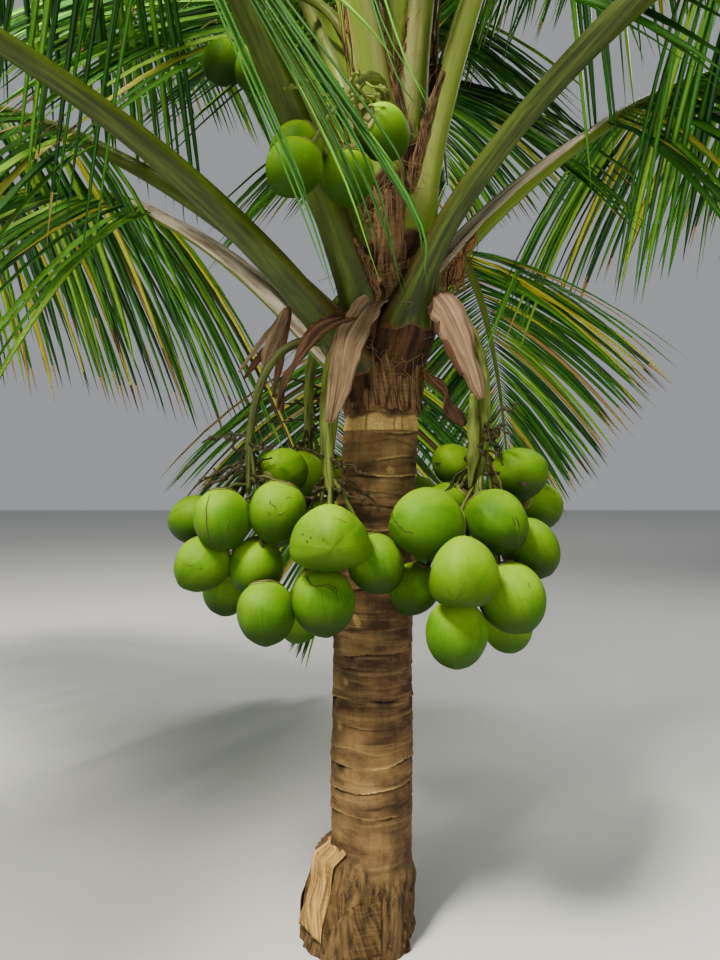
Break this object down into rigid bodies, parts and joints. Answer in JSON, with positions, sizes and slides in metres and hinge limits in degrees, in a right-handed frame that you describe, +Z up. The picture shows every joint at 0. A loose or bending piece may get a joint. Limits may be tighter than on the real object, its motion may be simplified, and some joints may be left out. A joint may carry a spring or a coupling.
{
  "type": "dwarf coconut palm",
  "caption": "Rooted dwarf coconut palm in fruit: short ringed trunk, full crown of arching feather fronds and hanging bunches of green nuts.",
  "frame": {"origin": "middle of the flat cut under the trunk, at ground level", "axes": "+Z up, +X to the right of the view from the front and +Y away from it; the trunk leans slightly towards +X"},
  "size_m": [6.6427, 5.794, 5.0753],
  "materials": {
    "bark": "rough ringed bark with leaf scars",
    "old_frond": "weathered green and straw leaf",
    "frond": "satin green leaf",
    "spear": "pale waxy young leaf",
    "nut": "smooth waxy green husk",
    "spathe": "dry fibrous sheath"
  },
  "bodies": {
    "root": {"trunk": "bark", "frond_01": "old_frond", "frond_01_end": "old_frond", "frond_02": "old_frond", "frond_02_end": "old_frond", "frond_03": "old_frond", "frond_03_end": "old_frond", "frond_04": "frond", "frond_04_end": "frond", "frond_05": "frond", "frond_05_end": "frond", "frond_06": "frond", "frond_06_end": "frond", "frond_07": "frond", "frond_08": "frond", "frond_09": "frond", "frond_10": "frond", "frond_11": "frond", "frond_12": "frond", "frond_13": "frond", "frond_14": "frond", "frond_15": "frond", "frond_16": "frond", "frond_17": "frond", "frond_18": "frond", "frond_19": "frond", "frond_20": "frond", "frond_21": "frond", "frond_22": "frond", "frond_23": "frond", "spear_leaf": "spear", "bunch_left": "nut", "bunch_left_inner": "nut", "bunch_right": "nut", "bunch_upper": "nut", "bunch_upper_left": "nut", "bunch_back": "nut", "bunch_back_left": "nut", "spathe_front": "spathe", "spathe_front_side": "spathe", "spathe_left": "spathe", "spathe_right": "spathe", "spathe_right_low": "spathe"}
  },
  "joints": []
}
